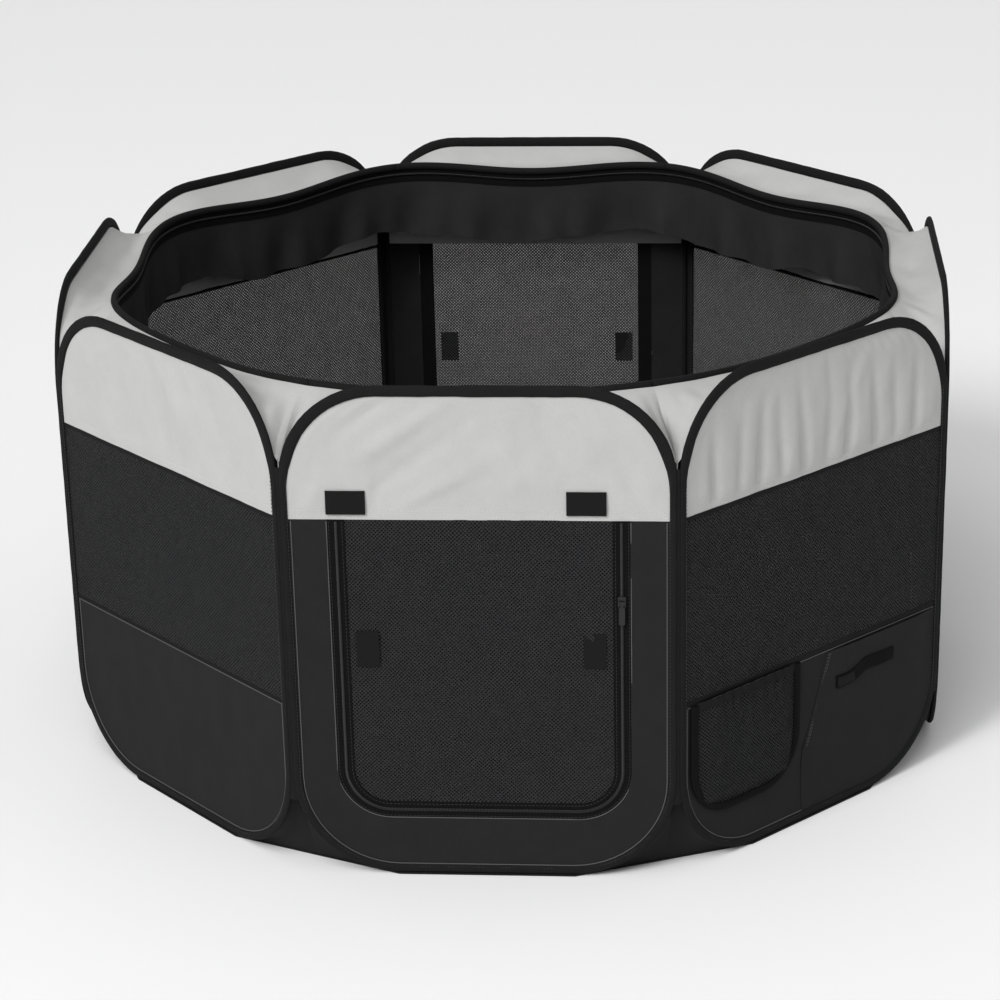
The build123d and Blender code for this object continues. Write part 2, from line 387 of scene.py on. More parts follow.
def rounded_path(half, low, high, low_radius, high_radius, step=0.008, bend=14):
    """Closed path round a wall outline, from the bottom middle, counter-clockwise from outside."""
    points = []

    def line(a, b):
        count = max(1, int(math.dist(a, b) / step))
        for i in range(count):
            points.append((mix(a[0], b[0], i / count), mix(a[1], b[1], i / count)))

    def arc(x, z, radius, start):
        for i in range(bend):
            t = math.radians(start + 90 * i / bend)
            points.append((x + radius * math.cos(t), z + radius * math.sin(t)))

    line((0, low), (half - low_radius, low))
    arc(half - low_radius, low + low_radius, low_radius, -90)
    line((half, low + low_radius), (half, high - high_radius))
    arc(half - high_radius, high - high_radius, high_radius, 0)
    line((half - high_radius, high), (-half + high_radius, high))
    arc(-half + high_radius, high - high_radius, high_radius, 90)
    line((-half, high - high_radius), (-half, low + low_radius))
    arc(-half + low_radius, low + low_radius, low_radius, 180)
    line((-half + low_radius, low), (0, low))
    return points


def half_width(height, half, low, high, low_radius, high_radius):
    """Half the width of a rounded outline at a height."""
    if low_radius and height < low + low_radius:
        drop = low + low_radius - height
        return half - low_radius + math.sqrt(max(low_radius ** 2 - drop ** 2, 0))
    if high_radius and height > high - high_radius:
        rise = height - high + high_radius
        return half - high_radius + math.sqrt(max(high_radius ** 2 - rise ** 2, 0))
    return half


def level_list(bottom, top, low, high, low_radius, high_radius, step, bend=16):
    """Row heights, closer together where an outline curves."""
    levels = []
    start = bottom
    if low_radius and bottom < low + low_radius:
        centre = low + low_radius
        first = math.asin(max(min((centre - bottom) / low_radius, 1.0), -1.0))
        turns = [mix(first, 0, i / bend) for i in range(bend)]
        levels += [centre - low_radius * math.sin(t) for t in turns]
        start = centre
    end = min(top, high - high_radius) if high_radius else top
    count = max(1, int((end - start) / step))
    levels += even(start, end, count)
    if high_radius and top > high - high_radius:
        centre = high - high_radius
        last = math.asin(min((top - centre) / high_radius, 1.0))
        levels += [centre + high_radius * math.sin(last * i / bend) for i in range(1, bend + 1)]
    return levels


def cloth(k, lines, depth):
    """Grid of points on wall k, and its flat pattern, from rows of (across, height)."""
    return [[place(k, x, depth(x, z), z) for x, z in line] for line in lines], lines


def wall_rows(k, bottom, top, columns, depth, inset=TUCK, step=0.006):
    """Grid over part of a wall, inside its rounded outline. depth(across, height) is in metres."""
    half = HALF - inset
    low = LOW + inset
    high = HIGH - inset
    r_low = LOW_RADIUS - inset
    r_high = TOP_RADIUS - inset
    bottom = max(bottom, low)
    top = min(top, high)
    lines = []
    for height in level_list(bottom, top, low, high, r_low, r_high, step):
        wide = half_width(height, half, low, high, r_low, r_high)
        lines.append([(t * wide, height) for t in even(-1, 1, columns)])
    return cloth(k, lines, depth)


def edge_distance(across, height, inset=0.010):
    """Roughly how far a point of a wall is from the inside of its binding."""
    low = LOW + inset
    high = HIGH - inset
    wide = half_width(height, HALF - inset, low, high, LOW_RADIUS - inset, TOP_RADIUS - inset)
    return min(wide - abs(across), high - height, height - low)


def ridge(across, height, at, angle, length, width, rise):
    """Soft fold: a long low bump across a sheet."""
    c = math.cos(math.radians(angle))
    s = math.sin(math.radians(angle))
    x = across - at[0]
    z = height - at[1]
    along = x * c + z * s
    beside = -x * s + z * c
    return rise * math.exp(-(beside / width) ** 2 - (along / length) ** 2)


# ---------------------------------------------------------------- repeats along a line
def repeat_tree():
    """Copies of a template set along a line at a step, turned along it and facing out."""
    tree = bpy.data.node_groups.new("copies_along_a_line", "GeometryNodeTree")
    face = tree.interface
    for label, kind in (
        ("Geometry", "Geometry"), ("Template", "Object"), ("Step", "Float"),
        ("Size", "Vector"), ("Outward", "Vector"), ("Material", "Material"),
    ):
        face.new_socket(label, in_out="INPUT", socket_type="NodeSocket" + kind)
    face.new_socket("Geometry", in_out="OUTPUT", socket_type="NodeSocketGeometry")
    given = tree.nodes.new("NodeGroupInput")
    result = tree.nodes.new("NodeGroupOutput")
    curve = add(tree, "GeometryNodeMeshToCurve", {"Mesh": given.outputs["Geometry"]})
    inputs = {"Curve": curve.outputs[0], "Length": given.outputs["Step"]}
    points = add(tree, "GeometryNodeResampleCurve", inputs, mode="LENGTH")
    heading = tree.nodes.new("GeometryNodeInputTangent")
    first = add(tree, "FunctionNodeAlignRotationToVector", {"Vector": heading.outputs[0]}, axis="X")
    inputs = {"Rotation": first.outputs[0], "Vector": given.outputs["Outward"]}
    second = add(tree, "FunctionNodeAlignRotationToVector", inputs, axis="Z", pivot_axis="X")
    template = add(tree, "GeometryNodeObjectInfo", {"Object": given.outputs["Template"]})
    copies = add(tree, "GeometryNodeInstanceOnPoints", {
        "Points": points.outputs[0],
        "Instance": template.outputs["Geometry"],
        "Rotation": second.outputs[0],
        "Scale": given.outputs["Size"],
    })
    real = add(tree, "GeometryNodeRealizeInstances", {"Geometry": copies.outputs[0]})
    inputs = {"Geometry": real.outputs[0], "Material": given.outputs["Material"]}
    painted = add(tree, "GeometryNodeSetMaterial", inputs)
    tree.links.new(painted.outputs[0], result.inputs["Geometry"])
    return tree


REPEAT = repeat_tree()


def template_bead():
    """Low-sided rounded bead, one unit long, wide and high."""
    data = bpy.data.meshes.new("bead")
    verts = []
    for x, r in ((-0.5, 0.25), (-0.3, 0.5), (0.3, 0.5), (0.5, 0.25)):
        for j in range(6):
            a = math.pi / 3 * j
            verts.append((x, r * math.cos(a), r * math.sin(a)))
    faces = [tuple(range(6)), tuple(reversed(range(18, 24)))]
    for a in (0, 6, 12):
        for j in range(6):
            b = (j + 1) % 6
            faces.append((a + 6 + j, a + 6 + b, a + b, a + j))
    data.from_pydata(verts, [], faces)
    data.polygons.foreach_set("use_smooth", [True] * len(data.polygons))
    return bpy.data.objects.new("bead", data)


BEAD = template_bead()


def repeat(k, name, line, step, size, material):
    """Copies of the bead along a line on wall k, as one plain mesh."""
    data = bpy.data.meshes.new(name)
    data.from_pydata(line, [(i, i + 1) for i in range(len(line) - 1)], [])
    made = bpy.data.objects.new(name, data)
    bpy.context.scene.collection.objects.link(made)
    bpy.context.scene.collection.objects.link(BEAD)
    modifier = made.modifiers.new("copies", "NODES")
    modifier.node_group = REPEAT
    given = {"Template": BEAD, "Step": step, "Size": size, "Outward": outward(k), "Material": material}
    for item in REPEAT.interface.items_tree:
        if item.in_out == "INPUT" and item.name in given:
            modifier[item.identifier] = given[item.name]
    bpy.context.view_layer.update()
    shape = made.evaluated_get(bpy.context.evaluated_depsgraph_get())
    final = bpy.data.meshes.new_from_object(shape)
    made.modifiers.clear()
    made.data = final
    if not final.materials:
        final.materials.append(material)
    bpy.context.scene.collection.objects.unlink(BEAD)
    if face_volume(made) < 0:
        final.flip_normals()
    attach(made, WALLS[k] + "_wall")
    return made


# ---------------------------------------------------------------- shape of each cloth
def random_folds(seed, count, spread, rise):
    rng = random.Random(seed)
    folds = []
    for _ in range(count):
        at = (rng.uniform(-0.19, 0.19), rng.uniform(0.46, 0.59))
        angle = rng.uniform(-spread, spread) + 90
        length = rng.uniform(0.03, 0.07)
        width = rng.uniform(0.006, 0.014)
        folds.append((at, angle, length, width, rng.uniform(-rise, rise)))
    return folds


FRONT_FOLDS = [
    ((-0.095, 0.548), 34, 0.085, 0.0085, 0.0032),
    ((-0.070, 0.520), 37, 0.070, 0.0080, -0.0022),
    ((-0.125, 0.575), 38, 0.045, 0.0075, -0.0020),
    ((-0.030, 0.498), 30, 0.060, 0.0090, 0.0022),
    ((0.030, 0.560), 100, 0.050, 0.0120, 0.0014),
    ((0.085, 0.540), 118, 0.060, 0.0100, -0.0018),
    ((0.130, 0.530), 124, 0.055, 0.0085, 0.0022),
    ((0.165, 0.500), 130, 0.040, 0.0075, -0.0015),
    ((-0.170, 0.490), 45, 0.035, 0.0080, 0.0018),
]
GATHERS = [
    (-0.168, 0.8), (-0.132, 0.5), (-0.098, 1.0), (-0.060, 0.6), (-0.024, 1.0),
    (0.014, 0.55), (0.048, 0.9), (0.100, 1.0), (0.134, 0.5), (0.166, 0.8),
]
GATHER_DEPTH = 0.0075
GATHER_WIDTH = 0.0075


def top_depth(k):
    """Depth of a wall's grey top section: folds of its own, slack between, flat at the binding."""
    folds = FRONT_FOLDS if k == 0 else random_folds(40 + k, 14, 35, 0.0016)

    def depth(across, height):
        near = smooth(edge_distance(across, height) / 0.022)
        value = 1.3 * sum(ridge(across, height, *fold) for fold in folds)
        value += 0.0030 * wander(across * 13 + k * 9, height * 15, k)
        value += 0.0007 * wander(across * 60, height * 45, k + 3)
        pucker = math.exp(-(edge_distance(across, height) / 0.018) ** 2)
        value += 0.0008 * pucker * math.sin(across * 420 + height * 330)
        if k == 1:
            seam = smooth((HIGH - 0.02 - height) / 0.12)
            seam *= 0.12 + 0.88 * smooth((height - SEAM) / 0.025)
            for middle, weight in GATHERS:
                lean = 0.012 * math.sin(middle * 40) * (height - SEAM) / 0.15
                groove = math.exp(-((across - middle - lean) / GATHER_WIDTH) ** 2)
                value -= GATHER_DEPTH * weight * seam * groove
            value += 0.0030 * seam
        hem = smooth((height - SEAM + 0.006) / 0.02)
        if WALLS[k] in DOORS:
            for _, middle in TABS:
                beside = smooth((TAB_HALF + 0.0135 - abs(across - middle)) / 0.012)
                hem *= 1 - beside * smooth((TAB_ROOM - height) / 0.012)
        return value * near * hem

    return depth


def soft_depth(k, slack, scale=9.0):
    """Gentle slack of a tight sheet, flat at its binding and seams."""
    def depth(across, height):
        near = smooth(edge_distance(across, height) / 0.03) * smooth(abs(height - SEAM) / 0.03)
        if WALLS[k] not in DOORS:
            near *= smooth(abs(height - LOWER_SEAM) / 0.02)
        broad = wander(across * scale, height * scale, 5.0 + k)
        return near * slack * (broad + 0.3 * wander(across * 40, height * 30, k))

    return depth


def line_on_wall(k, pairs, out):
    return [place(k, x, out, z) for x, z in pairs]


# ---------------------------------------------------------------- walls
def binding_size(height):
    """Width of the binding: narrow down the sewn sides, wider over the arch and along the foot."""
    arch = smooth((height - 0.485) / 0.05)
    foot = smooth((0.150 - height) / 0.06)
    return 0.0085 + 0.0050 * arch + 0.0025 * foot


def make_binding(k, name):
    path = rounded_path(HALF, LOW, HIGH, LOW_RADIUS, TOP_RADIUS)

    def section(i):
        x, z = path[i]
        wide = binding_size(z)
        wobble = 1 + 0.07 * wander(x * 60, z * 60, k * 3.1)
        return oval(wide / 2 * wobble, 0.0031 * wobble, 12, wide / 2)

    made = sweep(
        name + "_edge_binding", line_on_wall(k, path, 0), section,
        TAPE, name + "_wall", True, outward(k),
    )
    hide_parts(name + "_binding")
    i = STITCH_INSET
    stitch = rounded_path(HALF - i, LOW + i, HIGH - i, LOW_RADIUS - i, TOP_RADIUS - i)
    stitch.append(stitch[0])
    for side, out in (("outer", 0.0026), ("inner", -0.0026)):
        label = name + "_binding_stitch_" + side
        size = (0.0030, 0.0006, 0.0006)
        repeat(k, label, line_on_wall(k, stitch, out), 0.0045, size, DARK_THREAD)


def make_top(k, name):
    depth = top_depth(k)
    rows, uv = wall_rows(k, SEAM, HIGH, 120, depth, step=0.004)
    made = sheet(
        name + "_top_section", rows, uv, 0.0009, GREY, "grey_oxford", name + "_wall",
        (0.43, 0.15), "stretched",
    )
    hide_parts(name + "_top")
    for number, rise in enumerate((0.0035, 0.0105)):
        z = SEAM + rise
        line = [place(k, x, depth(x, z) + 0.0006, z) for x in even(-0.212, 0.212, 90)]
        size = (0.0028, 0.0006, 0.0005)
        repeat(k, f"{name}_seam_stitch_{number}", line, 0.0042, size, LIGHT_THREAD)


# Thin grey cord along an edge; its colour partly paints a highlight along that edge.
def piping(k, name, label, pairs, out=0.0009, radius=0.0007):
    line = line_on_wall(k, pairs, out)
    cord = oval(radius, radius, 6, 0, 1)
    wall_sweep(k, f"{name}_{label}", line, lambda i: cord, PIPING_GREY_HIGHLIGHT)


def quarter(bend):
    return even(0, math.pi / 2, bend)[1:]


def u_path(half, low, radius, top, bend=14, upright=30, foot=30):
    """Line down the left side of a rounded shape, along its foot and up its right side."""
    x = half - radius
    z = low + radius
    line = [(-half, h) for h in even(top, z, upright)]
    line += [(-x - radius * math.cos(t), z - radius * math.sin(t)) for t in quarter(bend)]
    line += [(w, low) for w in even(-x, x, foot)[1:]]
    line += [(x + radius * math.sin(t), z - radius * math.cos(t)) for t in quarter(bend)]
    line += [(half, h) for h in even(z, top, upright)[1:]]
    return line


def foot_path(inset, top):
    return u_path(HALF - inset, LOW + inset, LOW_RADIUS - inset, top)


def make_window(k, name):
    rows, uv = wall_rows(k, LOWER_SEAM, SEAM, 60, soft_depth(k, 0.0035), step=0.007)
    made = sheet(
        name + "_window", rows, uv, 0.0006, MESH, "mesh_black", name + "_wall",
        (0.43, 0.232), "stretched",
    )
    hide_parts(name + "_mesh")
    rows, uv = wall_rows(k, LOW, LOWER_SEAM, 60, soft_depth(k, 0.0040), step=0.006)
    made = sheet(
        name + "_lower_section", rows, uv, 0.0009, DARK, "dark_oxford", name + "_wall",
        (0.43, 0.205), "stretched",
    )
    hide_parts(name + "_lower")
    band = 0.0075 if k == 1 else 0.0045
    for label, z, half, thick in (
        ("seam_tape", LOWER_SEAM, band / 2, 0.0011),
        ("upper_seam_tape", SEAM - 0.0015, 0.0028, 0.0009),
    ):
        line = [place(k, x, 0.0003, z) for x in even(-0.2165, 0.2165, 60)]
        wall_sweep(k, f"{name}_{label}", line, lambda i: oval(half, thick, 10, 0, 0.6), TAPE)
    z = LOWER_SEAM - band / 2 - 0.0008
    piping(k, name, "seam_piping", [(x, z) for x in even(-0.213, 0.213, 40)], 0.0006)
    piping(k, name, "foot_piping", foot_path(PIPING_INSET, LOWER_SEAM - 0.004), 0.0006)


def u_rows(k, outer, inner, across, depth, top=SEAM):
    """Strip round the sides and foot of a door between two outlines (half, low, radius)."""
    a = u_path(*outer, top)
    b = u_path(*inner, top)
    lines = []
    for t in even(0, 1, across):
        lines.append([(mix(p[0], q[0], t), mix(p[1], q[1], t)) for p, q in zip(a, b)])
    return cloth(k, lines, depth)


def make_door(k, name):
    wall = name + "_wall"

    def around(gap):
        """Outline (half, low, radius) this far outside the door opening."""
        return DOOR_HALF + gap, DOOR_LOW - gap, DOOR_RADIUS + gap

    outer = (HALF - TUCK, LOW + TUCK, LOW_RADIUS - TUCK)
    rows, uv = u_rows(k, outer, around(ZIP_WIDTH), 12, soft_depth(k, 0.0028, 14.0))
    made = sheet(
        name + "_door_surround", rows, uv, 0.0009, DARK, "dark_oxford", wall,
        (0.43, 0.438), "stretched",
    )
    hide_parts(name + "_surround")

    def tape_depth(x, z):
        return 0.0003 + 0.0006 * wander(x * 50, z * 50, k)

    rows, uv = u_rows(k, around(ZIP_WIDTH), around(0), 6, tape_depth)
    made = sheet(name + "_zip_tape", rows, uv, 0.0011, ZIP_TAPE, "zip_black", wall)
    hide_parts(name + "_zip")
    line = line_on_wall(k, u_path(*around(ZIP_WIDTH / 2), SEAM - 0.003), 0.0012)
    repeat(k, name + "_zip_coil", line, 0.0017, (0.0014, 0.0050, 0.0020), TEETH)
    for label, gap in (("outer", ZIP_WIDTH - 0.002), ("inner", 0.003)):
        line = line_on_wall(k, u_path(*around(gap), SEAM - 0.004), 0.0011)
        size = (0.0030, 0.0005, 0.0005)
        repeat(k, f"{name}_zip_stitch_{label}", line, 0.0045, size, DARK_THREAD)
    piping(k, name, "door_piping", u_path(*around(ZIP_WIDTH + 0.0006), SEAM - 0.002))
    piping(k, name, "foot_piping", foot_path(PIPING_INSET, SEAM - 0.002))

    half, low, radius = around(DOOR_LAP)
    lines = []
    for height in level_list(low, SEAM + DOOR_LAP, low, NO_TOP, radius, 0, 0.007, 10):
        wide = half_width(height, half, low, NO_TOP, radius, 0)
        lines.append([(t * wide, height) for t in even(-1, 1, 50)])

    def flap_depth(x, z):
        near = smooth(min(half - abs(x), z - low, SEAM - z) / 0.03)
        return near * 0.0035 * wander(x * 8, z * 8, 2.0 + k)

    rows, uv = cloth(k, lines, flap_depth)
    flap_body = name + "_flap_body"
    made = sheet(
        name + "_door_mesh", rows, uv, 0.0006, MESH, "mesh_black", flap_body,
        (0.302, 0.355), "hung",
    )
    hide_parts(name + "_flap")
    for label, middle in (("left", -PATCH_MIDDLE), ("right", PATCH_MIDDLE)):
        lines = []
        for z in even(0.268, 0.312, 10):
            lines.append([(middle + x, z) for x in even(-PATCH_HALF, PATCH_HALF, 8)])
        rows, uv = cloth(k, lines, lambda x, z: 0.0011 + 0.0005 * wander(x * 70, z * 70, k))
        made = sheet(f"{name}_patch_{label}", rows, uv, 0.0013, VELCRO, "hook_loop", flap_body)
        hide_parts(name + "_patches")

    def tab_depth(x, z):
        lift = 0.0017 + 0.0010 * smooth((TAB_ROOT - z) / 0.02)
        return lift + 0.0004 * wander(x * 60, z * 60, k + 4)

    for label, middle in TABS:
        lines = []
        for z in even(TAB_LOW, TAB_ROOT, 12):
            lines.append([(middle + x, z) for x in even(-TAB_HALF, TAB_HALF, 14)])
        rows, uv = cloth(k, lines, tab_depth)
        body = f"{name}_tab_{label}_body"
        made = sheet(f"{name}_roll_tab_{label}", rows, uv, 0.0014, VELCRO, "hook_loop", body)
        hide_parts(f"{name}_tab_{label}")


# ---------------------------------------------------------------- soft rim
def rim_point(k, across, out, height):
    """Point near the rim; across is the share of the wall's half width, out is away from the pen.
    The rim is an octagon with its corners eased round and held a little higher."""
    turn = math.atan(across * math.tan(HALF_TURN))
    corner = (1 - math.cos(8 * turn)) / 2
    radius = RIM * (1 + 0.054 * corner) + out
    angle = math.radians(45 * k - 90) + turn
    return Vector((radius * math.cos(angle), radius * math.sin(angle), height + 0.010 * corner))


def arch_path(inset, notch, bend=26, flat=36):
    """Upper edge of a wall from one corner notch over the arch to the other."""
    half = HALF - inset
    high = HIGH - inset
    radius = TOP_RADIUS - inset
    x = half - radius
    z = high - radius
    line = [(-half, h) for h in even(notch, z, 3)]
    line += [(-x - radius * math.cos(t), z + radius * math.sin(t)) for t in quarter(bend)]
    line += [(w, high) for w in even(-x, x, flat)[1:]]
    line += [(x + radius * math.sin(t), z + radius * math.cos(t)) for t in quarter(bend)]
    line += [(half, h) for h in even(z, notch, 3)[1:]]
    return line


def make_rim(k, name):
    body = name + "_wall"
    pieces = []
    arch = []
    for (xa, za), (xb, zb) in zip(arch_path(0.004, NOTCH), arch_path(0.0135, NOTCH)):
        share = smooth((za - 0.545) / 0.05)
        arch.append((mix(xa, xb, share), mix(za, zb, share)))
    span = []
    length = [0.0]
    for a, b in zip(arch, arch[1:]):
        length.append(length[-1] + math.dist(a, b))
    for (x, z), s in zip(arch, length):
        span.append(0.55 * x / (HALF - 0.004) + 0.45 * (2 * s / length[-1] - 1))
    rows = []
    uv = []
    for t in even(0, 1, 26):
        row = []
        coords = []
        for (x, z), share, s in zip(arch, span, length):
            corner = smooth((abs(share) - 0.45) / 0.5)
            if abs(x) > HALF - 0.006:
                turned = 1.0 if x > 0 else -1.0
                start = place(k, turned * (PITCH / 2 - 0.0017), -0.0042, z)
            else:
                start = place(k, x, -0.0030, z)
            end = rim_point(k, share, 0.0010, RIM_TOP)
            point = start.lerp(end, t)
            drop = z - end.z
            ease = 1 - (1 - t) ** (1.7 if drop < 0 else 1.25)
            point.z = mix(z, end.z, mix(t, ease, 0.75))
            middle = math.sin(math.pi * t)
            folds = 0.0014 * corner * math.sin(share * 46 + 2.1 * wander(s * 9, t * 2, k))
            folds *= math.sin(math.pi * min(1, t * 1.15))
            slack = -0.006 * middle * (1 - 0.5 * corner)
            rough = 0.0035 * wander(s * 16, t * 2.2, k * 4 + 1)
            fade = 1 - smooth((abs(share) - 0.82) / 0.18)
            point.z += (folds + rough * middle) * fade + slack
            row.append(point)
            coords.append((s, t * 0.08))
        rows.append(row)
        uv.append(coords)
    pieces.append(sheet(
        name + "_shelf", rows, uv, 0.0009, GREY, "grey_oxford", body,
        (0.60, 0.10), "stretched",
    ))
    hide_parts("shelf")

    bead = [rim_point(k, t, -0.0002, RIM_TOP + 0.0005) for t in even(-1, 1, 60)]
    pieces.append(sweep(
        name + "_rim_binding", bead, lambda i: oval(0.0042, 0.0052, 10, 0, 0.9),
        TAPE, body, False, Vector((0, 0, 1)),
    ))

    def band(label, levels, sway, hem, material, slot, thick, out, flat=None, held="stretched"):
        rows = []
        uv = []
        for z in levels:
            shares = even(-1, 1, 64)
            rows.append([rim_point(k, t, out + sway(t, z), z + hem(t, z)) for t in shares])
            uv.append([(t * 0.2, z) for t in shares])
        made = sheet(name + label, rows, uv, thick, material, slot, body, flat, held)
        pieces.append(made)
        return made

    low = RIM_TOP - RIM_BAND

    def level(t, z):
        return 0.0

    def rim_angle(t):
        return math.atan(t * math.tan(HALF_TURN)) + math.radians(45 * k)

    def hem(t, z):
        share = (low - z) / SKIRT
        angle = rim_angle(t)
        return share * (0.006 * math.sin(angle * 9 + 0.6) + 0.003 * math.sin(angle * 23))

    def sway(t, z):
        share = smooth((low - z) / SKIRT)
        angle = rim_angle(t)
        wide = 0.0065 * math.sin(angle * 24 + 1.3 * math.sin(angle * 5))
        return share * (wide + 0.003 * math.sin(angle * 56 + 1.0))

    levels = even(low, RIM_TOP, 4)
    tape = band("_rim_tape", levels, level, level, ZIP_TAPE, "zip_black", 0.0012, 0.0)
    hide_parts("rim_zip")
    levels = even(low - SKIRT, low + 0.001, 14)
    skirt = band(
        "_skirt", levels, sway, hem, SKIRT_CLOTH, "skirt_black", 0.0008, 0.0004,
        (0.40, 0.080), "hung",
    )
    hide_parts("skirt")
    teeth = [rim_point(k, t, -0.0010, RIM_TOP - 0.011) for t in even(-1, 1, 60)]
    size = (0.0018, 0.0045, 0.0022)
    pieces.append(repeat(k, name + "_rim_teeth", teeth, 0.0022, size, TEETH))
    for piece in pieces:
        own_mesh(piece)


# ---------------------------------------------------------------- floor and corners
def make_floor(k, name):
    """One eighth of the mat and its two corner gussets; the eighths gather with the walls."""
    reach = 0.003
    half_chord = (APOTHEM + reach) * math.tan(HALF_TURN) - LOW_RADIUS
    end_radius = (APOTHEM + reach) / math.cos(HALF_TURN) - LOW_RADIUS * math.sin(HALF_TURN)
    end_x = end_radius * math.sin(HALF_TURN)
    end_out = end_radius * math.cos(HALF_TURN) - APOTHEM
    rows = []
    uv = []
    for r in reversed([0.0004] + even(0.05, 1.0, 20)):
        row = []
        coords = []
        for t in even(-1, 1, 48):
            size = abs(t) * (half_chord + LOW_RADIUS)
            share = max(0.0, size - half_chord) / LOW_RADIUS
            x = math.copysign(mix(min(size, half_chord), end_x, share), t) * r
            out = (APOTHEM + mix(reach, end_out, share)) * r - APOTHEM
            point = place(k, x, out, 0.0011)
            ripple = 0.0007 * wander(point.x * 7, point.y * 7, 0.3)
            ripple *= 1 - smooth((r - 0.9) / 0.1)
            point.z += max(0.0, ripple)
            row.append(point)
            coords.append((point.x, point.y))
        rows.append(row)
        uv.append(coords)
    body = name + "_wall"
    made = sheet(
        name + "_floor", rows, uv, 0.0018, MAT_CLOTH, "dark_oxford", body,
        (0.45, 0.54), "laid",
    )
    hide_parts("floor")
    pieces = [made]
    radius = LOW_RADIUS - 0.004
    inside = 0.998            # the gusset's foot stands just inside the mat's edge
    for label, sign in (("left", -1), ("right", 1)):
        rows = []
        uv = []
        for t in even(0, 1, 14):
            turn = t * math.pi / 2
            side = HALF - LOW_RADIUS + radius * math.sin(turn)
            reaching = smooth((t - 0.8) / 0.2)
            start = Vector((
                mix(side, PITCH / 2 - 0.0013, reaching),
                mix(-0.003, -0.0042, t),
                LOW + LOW_RADIUS - radius * math.cos(turn),
            ))
            x = mix(half_chord, end_x, t) * inside + 0.0004 * t
            out = (APOTHEM + mix(reach, end_out, t)) * inside - APOTHEM
            foot = Vector((x, out, 0.0022))
            row = []
            coords = []
            for s in even(0, 1, 8):
                p = start.lerp(foot, s)
                sag = -0.006 * math.sin(math.pi * s) * (1 - t)
                row.append(place(k, sign * p.x, p.y + sag, p.z))
                coords.append((sign * p.x, p.z))
            if sign > 0:
                row.reverse()
                coords.reverse()
            rows.append(row)
            uv.append(coords)
        label = f"{name}_foot_gusset_{label}"
        pieces.append(sheet(label, rows, uv, 0.0008, MAT_CLOTH, "dark_oxford", body))
    for piece in pieces:
        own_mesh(piece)


def make_corner(k):
    """Narrow cloth that joins two walls down their fold line."""
    nxt = (k + 1) % 8
    here = WALLS[k]
    there = WALLS[nxt]
    heights = even(0.095, 0.512, 60)

    def strip(name, sides, body):
        rows = [[place(side, x, out, z) for side, x, out in sides] for z in heights]
        uv = [[(x, z) for _, x, _ in sides] for z in heights]
        return sheet(name, rows, uv, 0.0010, TAPE, "black_binding", body)

    reach = PITCH / 2
    steps = ((0.0065, 0.0008), (0.0040, 0.0006), (0.0018, 0.0004))
    left = [(k, reach - gap, out) for gap, out in steps]
    right = [(nxt, gap - reach, out) for gap, out in reversed(steps)]
    middle_left = [(k, reach, 0.0002)]
    middle_right = [(nxt, -reach, 0.0002)]
    if here == "rear":
        strip("rear_corner_tape_a", left + middle_left, "rear_wall")
        strip("rear_corner_tape_b", middle_right + right, "rear_left_wall")
        return
    parent, child = there, here
    if here in ("front", "front_right", "right", "rear_right"):
        parent, child = here, there
    made = strip(here + "_corner_tape", left + middle_left + right, None)
    start = place(k, reach - 0.006, 0, 0.3)
    end = place(nxt, -reach + 0.006, 0, 0.3)
    if parent != here:
        start, end = end, start
    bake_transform(made)


# ---------------------------------------------------------------- pockets
def make_bottle_pocket():
    k = 1
    body = "front_right_wall"
    left, right, bottom, high, corner = -0.205, -0.029, 0.066, 0.212, 0.062
    hem = 0.003               # the mesh runs to the middle of its edge tape
    centre = (left + right) / 2
    half = (right - left) / 2 - hem
    low = bottom + hem
    radius = corner - hem

    def ripple(x):
        return math.sin(x * 360 + 1.2 * math.sin(x * 90))

    def depth(x, z):
        edge = smooth(min(half - abs(x - centre), z - low) / 0.032)
        bulge = 0.0022 + 0.0068 * edge * (1 - 0.35 * smooth((z - high + 0.03) / 0.03))
        return bulge + 0.0016 * smooth((z - high + 0.05) / 0.05) * ripple(x) * edge

    lines = []
    for height in level_list(low, high, low, NO_TOP, radius, 0, 0.005, 14):
        wide = half_width(height, half, low, NO_TOP, radius, 0)
        lines.append([(centre + t * wide, height) for t in even(-1, 1, 56)])
    rows, uv = cloth(k, lines, depth)
    made = sheet(
        "bottle_pocket_mesh", rows, uv, 0.0008, POCKET_MESH, "mesh_black", body,
        (0.20, 0.15), "gathered",
    )
    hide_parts("mesh_pocket")
    path = [(centre + x, z) for x, z in u_path(half, low, radius, high + 0.003, 14, 24, 12)]

    def section(i):
        x, z = path[i]
        wobble = 1 + 0.12 * wander(x * 60, z * 60, 7)
        return oval(0.0056 * wobble, 0.0028, 10, 0, 0.7)

    made = wall_sweep(k, "bottle_pocket_edge", line_on_wall(k, path, 0.0026), section, ZIP_TAPE)
    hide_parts("mesh_pocket_binding")
    top = []
    for x in even(centre - half + 0.004, centre + half - 0.004, 60):
        edge = smooth(min(half - abs(x - centre), 0.05) / 0.032)
        top.append(place(k, x, 0.0022 + (0.0044 + 0.0014 * ripple(x)) * edge, high - 0.001))
    wall_sweep(k, "bottle_pocket_elastic", top, lambda i: oval(0.0060, 0.0014, 10, 0, 0.7), TAPE)


